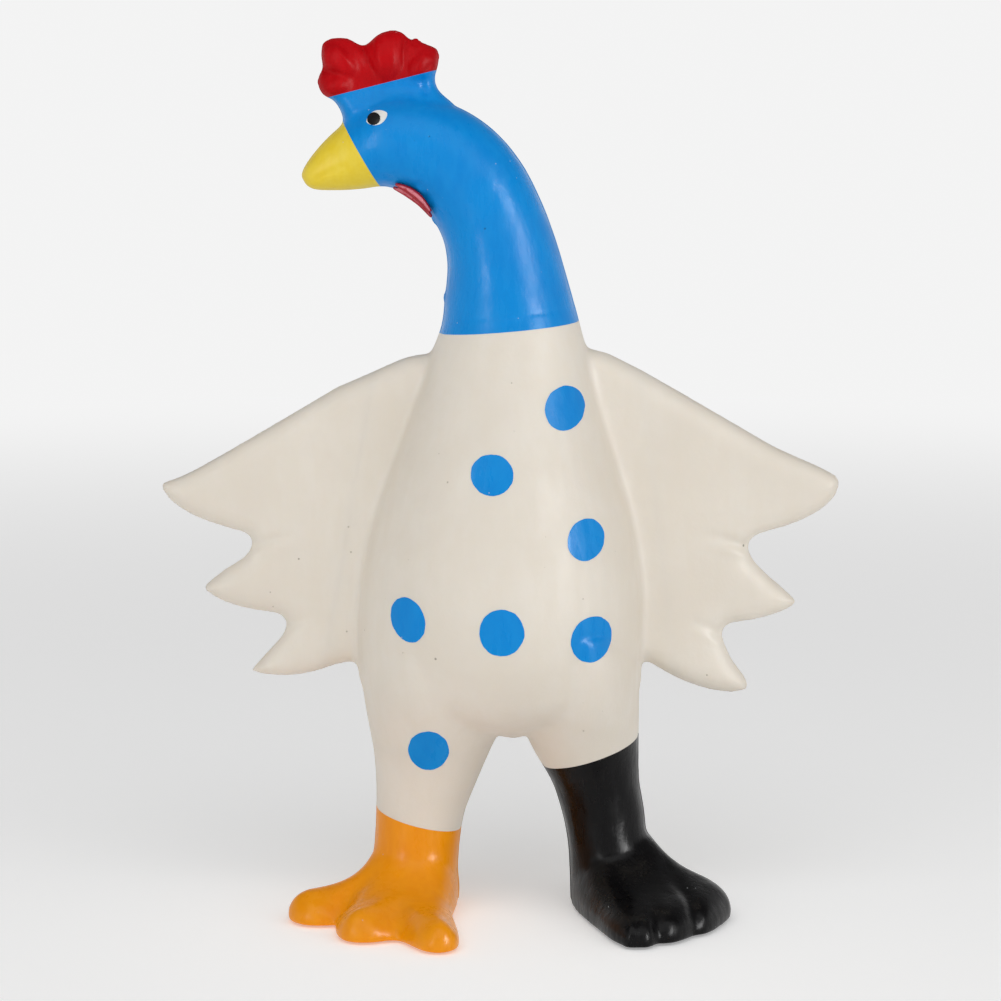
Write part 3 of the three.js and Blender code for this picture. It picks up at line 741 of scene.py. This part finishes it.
class Finish:
    """A material made of nodes, patterned on each point's place on the casting, in millimetres."""

    def __init__(self, name, roughness, specular, pattern="cast_place"):
        self.material = bpy.data.materials.new(name)
        self.material.use_nodes = True
        self.tree = self.material.node_tree
        self.shader = self.tree.nodes["Principled BSDF"]
        self.set("Roughness", roughness)
        self.set("Specular IOR Level", specular)
        if pattern:
            self.place = self.node("ShaderNodeAttribute", {"attribute_name": pattern}, {}, "Vector")
        else:
            values = {0: self.node("ShaderNodeTexCoord", {}, {}, "Object"), "Scale": 1 / MM}
            self.place = self.node("ShaderNodeVectorMath", {"operation": "SCALE"}, values)

    def plug(self, socket, value):
        if isinstance(value, Value):
            self.tree.links.new(value.socket, socket)
        else:
            socket.default_value = value

    def node(self, kind, settings, values, output=0):
        made = self.tree.nodes.new(kind)
        for key, value in settings.items():
            setattr(made, key, value)
        for key, value in values.items():
            self.plug(made.inputs[key], value)
        return Value(self, made.outputs[output])

    def set(self, socket, value):
        self.plug(self.shader.inputs[socket], value)

    def stretched(self, factors):
        return self.node("ShaderNodeVectorMath", {"operation": "MULTIPLY"}, {0: self.place, 1: factors})

    def clouds(self, size, detail=3.0, rough=0.5, stretch=(1, 1, 1)):
        """Noise whose blotches are about size millimetres across."""
        values = {
            "Vector": self.stretched([s / size for s in stretch]),
            "Scale": 1.0,
            "Detail": detail,
            "Roughness": rough,
        }
        return self.node("ShaderNodeTexNoise", {}, values)

    def specks(self, spacing, radius):
        """One in a small round speck, and nought elsewhere."""
        values = {"Vector": self.stretched([1 / spacing] * 3), "Scale": 1.0}
        gap = self.node("ShaderNodeTexVoronoi", {}, values, "Distance")
        return 1 - gap.between(radius * 0.5 / spacing, radius / spacing)

    def mixed(self, share, a, b):
        return self.node("ShaderNodeMix", {"data_type": "RGBA"}, {0: share, 6: a, 7: b}, 2)

    def relief(self, height):
        """Bumps the surface by a height in millimetres."""
        values = {"Height": height, "Distance": MM, "Strength": 1.0}
        self.set("Normal", self.node("ShaderNodeBump", {}, values))


def latex():
    """Natural latex: warm cream, a little translucent, with moulding flow, dust, and dented pits from burst
    bubbles that are darkened with painted shade.
    """
    skin = Finish("cream latex", 0.5, 0.3)
    patches = skin.clouds(26, 4).between(0.35, 0.65)
    flow = skin.clouds(5, 3, 0.6, (1, 1, 0.3)).between(0.3, 0.7)
    pits_and_shade = skin.specks(7, 0.3)
    grime = skin.specks(13, 0.42) * skin.clouds(9).between(0.45, 0.6)
    colour = skin.mixed(patches, linear(226, 217, 204), linear(231, 223, 211))
    colour = skin.mixed(flow * 0.35, colour, linear(225, 215, 199))
    # Painted shade: each dented pit is darkened, as if shaded inside.
    colour = skin.mixed(pits_and_shade * 0.5, colour, linear(150, 136, 116))
    colour = skin.mixed(grime * 0.7, colour, linear(96, 84, 70))
    skin.set("Base Color", colour)
    skin.set("Roughness", 0.46 + 0.14 * flow + 0.2 * grime)
    grain = skin.clouds(0.9, 2)
    skin.relief(0.035 * grain + 0.08 * skin.clouds(6, 2) - 0.12 * pits_and_shade)
    skin.set("Subsurface Weight", 0.12)
    skin.set("Subsurface Radius", (0.004, 0.0028, 0.0018))
    skin.set("Subsurface Scale", 1.0)
    return skin.material


LATEX = latex()
TORSO_CUTS = ["right_wing", "left_wing", "neck", "right_leg", "black_foot"]
torso = piece_of("torso_skin", "latex_torso", TORSO_CUTS)
torso.data.materials.append(LATEX)

# The squeaker's hole goes through the back, with a shallow seat for its flange.


def turned(profile):
    """A solid turned about the squeaker's axis, from a closed profile of (radius, out of the seat)."""
    bm = bmesh.new()
    corners = [bm.verts.new((radius, SEAT_OUT + out, SEAT_Z)) for radius, out in profile]
    edges = [bm.edges.new(pair) for pair in zip(corners, corners[1:] + corners[:1])]
    bmesh.ops.spin(
        bm,
        geom=corners + edges,
        cent=(0, 0, SEAT_Z),
        axis=(0, 1, 0),
        angle=math.tau,
        steps=96,
        use_merge=True,
    )
    bmesh.ops.remove_doubles(bm, verts=bm.verts, dist=0.001)
    bmesh.ops.recalc_face_normals(bm, faces=bm.faces)
    return bm


HOLE_RADIUS = 8.2
SEAT_RADIUS = 11.4
SEAT_DEPTH = 1.6
hole = [(0, -10), (HOLE_RADIUS, -10), (HOLE_RADIUS, -SEAT_DEPTH)]
seat = [(SEAT_RADIUS, -SEAT_DEPTH), (SEAT_RADIUS, 4), (0, 4)]
bm = turned(hole + seat)
bmesh.ops.transform(bm, matrix=Matrix.Scale(MM, 4) @ Matrix.Translation((0, PARTING, 0)), verts=bm.verts)
cutter = bpy.data.objects.new("cutter", meshed("cutter", bm))
bpy.context.scene.collection.objects.link(cutter)
bore = torso.modifiers.new("bore", "BOOLEAN")
bore.operation = "DIFFERENCE"
bore.solver = "MANIFOLD"
bore.object = cutter
bored = bpy.data.meshes.new_from_object(torso.evaluated_get(bpy.context.evaluated_depsgraph_get()))
torso.modifiers.clear()
torso.data = bored
bpy.data.objects.remove(cutter)

shade_as_cast(torso)
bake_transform(torso)
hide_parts("torso_skin", "belly_panel")

# ---- The wings ----
# Flat hollow lobes of the same latex, each with three feather points; the real wings flap at their thin
# roots, but these pieces are not made to flap.

FLAP_WIDTH = 10
for side in ("right", "left"):
    wing = piece_of(side + "_wing", "latex_" + side + "_wing", [side + "_wing"])
    wing.data.materials.append(LATEX)
    shade_as_cast(wing)
    root = CUTS[side + "_wing"]
    root.at(0)
    root.at(FLAP_WIDTH)
    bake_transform(wing)
    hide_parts(side + "_wing_skin")

# ---- The neck and head ----
# The same casting, brushed with blue paint from the shoulders up. On the real toy the neck bends and the
# head nods; these pieces are not made to.


def brushed_coat(name, colour, deep, light, roughness, specular):
    """A satin rubber paint put on by brush: streaks, thin and thick patches, dust, and dented pinholes
    darkened with painted shade.
    """
    coat = Finish(name, roughness, specular)
    streaks = coat.clouds(2.2, 3, 0.6, (1, 1, 0.25)).between(0.3, 0.7)
    patches = coat.clouds(14, 3).between(0.35, 0.65)
    dust = coat.specks(5, 0.22)
    pits_and_shade = coat.specks(9, 0.32)
    tint = coat.mixed(patches * 0.5, linear(*colour), linear(*deep))
    tint = coat.mixed(streaks * 0.3, tint, linear(*light))
    tint = coat.mixed(dust * 0.45, tint, linear(225, 228, 232))
    # Painted shade: each dented pinhole is darkened, as if shaded inside.
    tint = coat.mixed(pits_and_shade * 0.5, tint, linear(*[c * 0.45 for c in deep]))
    coat.set("Base Color", tint)
    coat.set("Roughness", roughness - 0.05 + 0.12 * streaks + 0.1 * patches)
    orange_peel = coat.clouds(0.8, 2)
    ripples = coat.clouds(3.5, 2)
    coat.relief(0.03 * orange_peel + 0.05 * ripples + 0.03 * streaks + 0.05 * dust - 0.08 * pits_and_shade)
    return coat, tint


def paint(*finish):
    return brushed_coat(*finish)[0].material


BLUE = paint("blue rubber paint", (2, 138, 218), (0, 126, 208), (18, 148, 222), 0.26, 0.14)
RED = paint("red rubber paint", (186, 2, 12), (150, 0, 8), (204, 20, 28), 0.4, 0.07)
YELLOW = paint("yellow rubber paint", (236, 208, 50), (228, 196, 34), (242, 222, 92), 0.34, 0.3)

NECK_GIVES = 20
neck = piece_of("neck", "painted_neck", ["neck", "head"])
neck.data.materials.append(BLUE)
shade_as_cast(neck)
CUTS["neck"].at(0)
CUTS["neck"].at(NECK_GIVES)
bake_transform(neck)
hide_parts("neck_skin")

HEAD_GIVES = (CUTS["head"].at(0), CUTS["head"].at(17))
head = piece_of("head", "painted_head", ["head", "comb", "beak"])
head.data.materials.append(BLUE)
shade_as_cast(head)
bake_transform(head)
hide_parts("head_skin")

comb = piece_of("comb", "painted_comb", ["comb"])
comb.data.materials.append(RED)
shade_as_cast(comb)
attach(comb, "head")
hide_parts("comb")

beak = piece_of("beak", "painted_beak", ["beak"])
beak.data.materials.append(YELLOW)
shade_as_cast(beak)
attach(beak, "head")
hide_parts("beak")

# The wattles are two small double folds of the casting that hug the throat on each side, painted crimson.
WATTLE_FOLDS = [
    [(-26.6, 189.4, 6.8), (-23.2, 188.0, 7.9), (-20.2, 185.7, 8.2), (-17.6, 182.4, 7.6)],
    [(-27.2, 188.5, 5.2), (-23.4, 186.7, 6.2), (-20.2, 184.4, 6.4), (-17.4, 181.0, 5.6)],
]


def wattle_red():
    """Thin crimson paint, with a painted pink highlight in patches where the folds face outward."""
    coat, painted = brushed_coat("wattle rubber paint", (168, 12, 30), (140, 6, 20), (190, 40, 58), 0.4, 0.2)
    ridge = coat.node("ShaderNodeAttribute", {"attribute_name": "ridge"}, {}, "Fac")
    # Painted highlight: pink where the folds face outward, broken into patches by noise.
    pink_highlight = ridge.between(0.55, 0.95) * coat.clouds(1.2, 3).between(0.3, 0.5)
    coat.set("Base Color", coat.mixed(pink_highlight * 0.8, painted, linear(226, 138, 148)))
    return coat.material


WATTLE_RED = wattle_red()
FOLD_RINGS = 20
FOLD_HALF = 0.62
FOLD_STANDS = 1.5
for side, flank in (("front", -1), ("rear", 1)):
    bm = bmesh.new()
    for fold in WATTLE_FOLDS:
        rings = []
        for i in range(FOLD_RINGS + 1):
            x, z, out = along(fold, i / FOLD_RINGS)
            thin = 0.25 + 0.75 * math.sin(math.pi * (0.08 + 0.84 * i / FOLD_RINGS))
            centre = Vector((x, flank * out, z))

            def place(a, b):
                return centre + Vector((FOLD_HALF * a, flank * FOLD_STANDS * b, FOLD_HALF * a)) * thin

            rings.append(add_ring(bm, place, cap=i in (0, FOLD_RINGS)))
        join_rings(bm, rings)
    folds = worked(meshed("folds", bm), voxel=0.3, rubs=4)
    bm = bmesh.new()
    bm.from_mesh(folds)
    for face in bm.faces:
        face.smooth = True
    wattle = finished("wattle_folds_" + side, bm)
    # How far each point faces outward from the throat, which places the painted pink highlight.
    facing = np.clip(normals(wattle.data)[:, 1] * flank, 0, 1)
    wattle.data.attributes.new("ridge", "FLOAT", "POINT").data.foreach_set("value", facing)
    wattle.data.materials.append(WATTLE_RED)
    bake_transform(wattle)
    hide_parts(side + "_wattle")

# ---- Painted spots and eyes ----
# Thin films of paint, dabbed on by hand, so that they follow the skin and their edges wander a little.

FILM = 0.28
SPOT_LIFT = 0.07
WHITE_LIFT = 0.12
PUPIL_LIFT = 0.26
OUTSIDE = 60  # farther from the parting plane than any skin


def film(name, x, z, width, height, lean, flank, lift, shape=lambda a, b: (a, b), wander=0.02):
    """A film of paint on one face of the casting, centred at (x, z), width by height, leaning clockwise."""
    bm = bmesh.new()
    bmesh.ops.create_circle(bm, cap_ends=True, segments=96, radius=1)
    middle = bm.faces[:]
    for _ in range(9):
        bmesh.ops.inset_region(bm, faces=middle, thickness=0.1, use_even_offset=True, use_boundary=True)
    bmesh.ops.poke(bm, faces=middle)
    turn = math.radians(lean)
    for vert in bm.verts:
        angle = math.atan2(vert.co.y, vert.co.x)
        ragged = noise.noise(Vector((3 * math.cos(angle), 3 * math.sin(angle), x * 7.3 + z)))
        ragged += 0.6 * noise.noise(Vector((9 * math.cos(angle), 9 * math.sin(angle), x * 3.1 - z)))
        a, b = shape(*(vert.co.xy * (1 + wander * ragged)))
        a *= width / 2
        b *= height / 2
        across = a * math.cos(turn) + b * math.sin(turn)
        up = b * math.cos(turn) - a * math.sin(turn)
        start = Vector((x + across, flank * OUTSIDE, z + up))
        hit, outward, _, _ = outer_tree.ray_cast(start, Vector((0, -flank, 0)))
        vert.co = hit + outward * lift
    bmesh.ops.recalc_face_normals(bm, faces=bm.faces)
    if sum(face.normal.y * flank for face in bm.faces) < 0:
        bmesh.ops.reverse_faces(bm, faces=bm.faces)
    made = bmesh.ops.extrude_face_region(bm, geom=bm.faces[:])
    for item in made["geom"]:
        if isinstance(item, bmesh.types.BMVert):
            on_skin, outward, _, _ = outer_tree.find_nearest(item.co)
            item.co -= outward * FILM
    bmesh.ops.recalc_face_normals(bm, faces=bm.faces)
    for face in bm.faces:
        face.smooth = True
    for edge in bm.edges:
        if len(edge.link_faces) == 2 and edge.calc_face_angle(0) > 0.7:
            edge.smooth = False
    return finished(name, bm)


FRONT, BACK = -1, 1
SPOTS = [
    ("breast", 16.2, 133.7, 10.2, 10.9, 8, FRONT),
    ("chest", -2.1, 118.0, 10.6, 10.0, 0, FRONT),
    ("flank", 21.4, 101.4, 9.4, 10.3, 4, FRONT),
    ("right_belly", -23.2, 81.2, 8.7, 11.4, -14, FRONT),
    ("middle_belly", 0.3, 79.3, 11.2, 11.9, 0, FRONT),
    ("left_belly", 22.8, 76.4, 10.4, 11.6, 16, FRONT),
    ("shoulder", -4.0, 131.0, 10.2, 10.6, 0, BACK),
    ("upper_back", 14.0, 113.0, 10.2, 10.2, 5, BACK),
    ("side_back", -22.0, 104.0, 10.0, 10.8, -6, BACK),
    ("low_back", 23.0, 73.0, 9.6, 10.8, 10, BACK),
    ("rump", -18.0, 62.0, 10.2, 10.2, 0, BACK),
]
LEG_GIVES = (CUTS["right_leg"].at(0), CUTS["right_leg"].at(18.1))
for place, x, z, width, height, lean, flank in SPOTS:
    spot = film("spot_" + place, x, z, width, height, lean, flank, SPOT_LIFT)
    spot.data.materials.append(BLUE)
    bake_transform(spot)

leg_spot = film("spot_right_leg", -18.4, 45.6, 10.4, 11.4, 0, FRONT, SPOT_LIFT)
leg_spot.data.materials.append(BLUE)
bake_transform(leg_spot)


def almond(a, b):
    return a, b * (0.55 + 0.45 * max(1 - abs(a) ** 2, 0.0) ** 0.5)


def eye_paint(name, colour, roughness):
    coat = Finish(name, roughness, 0.35)
    thin = coat.clouds(1.5, 2).between(0.3, 0.7) * 0.5
    coat.set("Base Color", coat.mixed(thin, colour, [c * 0.86 for c in colour]))
    coat.relief(0.02 * coat.clouds(0.8, 2))
    return coat.material


EYE_WHITE = eye_paint("eye white paint", linear(238, 238, 234), 0.4)
EYE_BLACK = eye_paint("eye black paint", linear(14, 14, 16), 0.25)
for side, flank in (("front", FRONT), ("rear", BACK)):
    white = film("eye_white_" + side, -31.0, 205.9, 5.6, 3.5, -22, flank, WHITE_LIFT, almond, 0.015)
    white.data.materials.append(EYE_WHITE)
    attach(white, "head")
    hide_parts(side + "_eye_white")
    pupil = film("eye_pupil_" + side, -31.75, 205.6, 3.3, 3.0, -22, flank, PUPIL_LIFT)
    pupil.data.materials.append(EYE_BLACK)
    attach(pupil, "head")
    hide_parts(side + "_eye_pupil")

# ---- The legs and feet ----
# Stubby hollow legs with solid, flat-soled toes. The right foot is dipped orange to the ankle, and the
# left leg is dipped black right up to the thigh.

ORANGE = paint("orange rubber paint", (244, 152, 4), (232, 138, 0), (250, 166, 20), 0.26, 0.2)
BLACK = paint("black rubber paint", (9, 8, 9), (5, 5, 6), (16, 16, 18), 0.22, 0.14)

right_leg = piece_of("right_leg", "latex_right_leg", ["right_leg", "orange_foot"])
right_leg.data.materials.append(LATEX)
shade_as_cast(right_leg)
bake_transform(right_leg)
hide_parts("right_leg_skin")

orange_foot = piece_of("orange_foot", "painted_orange_foot", ["orange_foot"])
orange_foot.data.materials.append(ORANGE)
shade_as_cast(orange_foot)
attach(orange_foot, "right_leg")
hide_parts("orange_foot")

black_foot = piece_of("black_foot", "painted_black_foot", ["black_foot"])
black_foot.data.materials.append(BLACK)
shade_as_cast(black_foot)
CUTS["black_foot"].at(0)
CUTS["black_foot"].at(20)
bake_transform(black_foot)
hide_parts("black_foot")

# ---- The squeaker ----
# A turned white plastic cup, pushed into the hole in the back, that holds a reed and its two half-round
# jaws. Air blown through its small hole makes the reed buzz.


def plastic(name, colour, shade):
    shell = Finish(name, 0.38, 0.45, pattern=None)
    cloudy = shell.clouds(3, 3).between(0.3, 0.7)
    shell.set("Base Color", shell.mixed(cloudy, linear(*colour), linear(*shade)))
    shell.relief(0.01 * shell.clouds(0.6, 2))
    return shell.material


PLUG_PLASTIC = plastic("squeaker cup plastic", (236, 234, 228), (226, 223, 214))
REED_PLASTIC = plastic("squeaker reed plastic", (222, 224, 222), (208, 210, 208))
PLUG_PROFILE = [
    (1.5, -0.7),
    (1.9, -0.4),
    (5.6, -0.4),
    (5.9, -0.75),
    (6.6, -0.75),
    (6.9, -0.4),
    (10.4, -0.4),
    (10.85, -0.55),
    (11.0, -0.85),
    (11.0, -1.25),
    (10.8, -1.4),
    (7.8, -1.4),
    (7.8, -5.3),
    (8.7, -5.35),
    (8.9, -5.6),
    (7.8, -7.0),
    (5.2, -7.0),
    (5.2, -19.7),
    (5.0, -20.0),
    (3.7, -20.0),
    (3.6, -19.8),
    (3.6, -2.4),
    (1.5, -2.4),
]
bm = turned(PLUG_PROFILE)
for face in bm.faces:
    face.smooth = True
for edge in bm.edges:
    edge.smooth = edge.calc_face_angle(0) < 0.6
cup = finished("squeaker_cup", bm)
cup.data.materials.append(PLUG_PLASTIC)
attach(cup, "torso")
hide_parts("squeaker_plug")

for node in ("squeaker_reed_holder", "squeaker_reed_wedge"):
    frame["nodes"][node].data.materials.clear()
    frame["nodes"][node].data.materials.append(PLUG_PLASTIC)
frame["nodes"]["squeaker_reed"].data.materials.clear()
frame["nodes"]["squeaker_reed"].data.materials.append(REED_PLASTIC)

# ---- The stage ----
# A plain pale floor that fades into the cove behind it, under a wide softbox overhead and one at the right.
# The tall strips at each side only draw the long highlights on the glossy paint.

HORIZON = 0.9
OVERHEAD = 0.2
NEAR_GLOW = 0.28
FADE_START = 250
FADE_END = 1300
FLOOR_RADIUS = 8
FLOOR_DROP = 0.0002
bm = bmesh.new()
bmesh.ops.create_circle(bm, cap_ends=True, segments=96, radius=FLOOR_RADIUS)
for vert in bm.verts:
    vert.co.z -= FLOOR_DROP
floor_mesh = meshed("floor", bm)
for face in floor_mesh.polygons:
    if face.normal.z < 0:
        floor_mesh.flip_normals()
board = Finish("pale studio floor", 0.85, 0.0, pattern=None)
gap = board.node("ShaderNodeVectorMath", {"operation": "LENGTH"}, {0: board.place}, "Value")
far = gap.between(FADE_START, FADE_END)
board.set("Base Color", board.mixed(far, (0.9, 0.9, 0.9, 1), (0, 0, 0, 1)))
board.set("Emission Color", board.mixed(far, [NEAR_GLOW] * 3 + [1], [HORIZON] * 3 + [1]))
board.set("Emission Strength", 1.0)
floor_mesh.materials.append(board.material)
floor = bpy.data.objects.new("floor", floor_mesh)
bpy.context.scene.collection.objects.link(floor)

DISTANCE = 0.75
WIDTH = 0.2589
ELEVATION = math.radians(8)
AIM = Vector((0, PARTING * MM, 0.1077))
camera_data = bpy.data.cameras.new("camera")
camera_data.sensor_width = 36
camera_data.lens = 36 * DISTANCE / WIDTH
camera = bpy.data.objects.new("camera", camera_data)
bpy.context.scene.collection.objects.link(camera)
camera.location = AIM + Vector((0, -math.cos(ELEVATION), math.sin(ELEVATION))) * DISTANCE
camera.rotation_euler = (AIM - camera.location).to_track_quat("-Z", "Y").to_euler()
bpy.context.scene.camera = camera


def softbox(name, place, aim, size, power):
    data = bpy.data.lights.new(name, "AREA")
    data.shape = "RECTANGLE"
    data.size, data.size_y = size
    data.energy = power
    lamp = bpy.data.objects.new(name, data)
    bpy.context.scene.collection.objects.link(lamp)
    lamp.location = place
    lamp.rotation_euler = (Vector(aim) - Vector(place)).to_track_quat("-Z", "Y").to_euler()
    return lamp


BODY_MIDDLE = (0, 0, 0.13)
softbox("overhead softbox", (-0.1, -0.9, 1.2), BODY_MIDDLE, (1.8, 1.2), 9.4)
softbox("right softbox", (1.0, -0.7, 0.7), BODY_MIDDLE, (0.8, 0.8), 2.2)
RIGHT_STRIP = softbox("right strip", (1.0, -0.86, 0.1), BODY_MIDDLE, (0.4, 1.3), 34)
LEFT_STRIP = softbox("left strip", (-0.86, -1.0, 0.1), BODY_MIDDLE, (0.15, 1.3), 9)
for strip in (RIGHT_STRIP, LEFT_STRIP):
    strip.visible_diffuse = False

world = bpy.data.worlds.new("studio")
world.use_nodes = True
cove = world.node_tree
aloft = cove.nodes.new("ShaderNodeSeparateXYZ")
cove.links.new(cove.nodes.new("ShaderNodeTexCoord").outputs["Generated"], aloft.inputs[0])
fade = cove.nodes.new("ShaderNodeMapRange")
fade.interpolation_type = "SMOOTHSTEP"
fade.inputs["From Min"].default_value = 0.15
fade.inputs["From Max"].default_value = 0.5
fade.inputs["To Min"].default_value = HORIZON
fade.inputs["To Max"].default_value = OVERHEAD
cove.links.new(aloft.outputs["Z"], fade.inputs["Value"])
cove.links.new(fade.outputs[0], cove.nodes["Background"].inputs["Strength"])
cove.nodes["Background"].inputs["Color"].default_value = (1, 1, 1, 1)
bpy.context.scene.world = world
bpy.context.scene.view_settings.view_transform = "Standard"
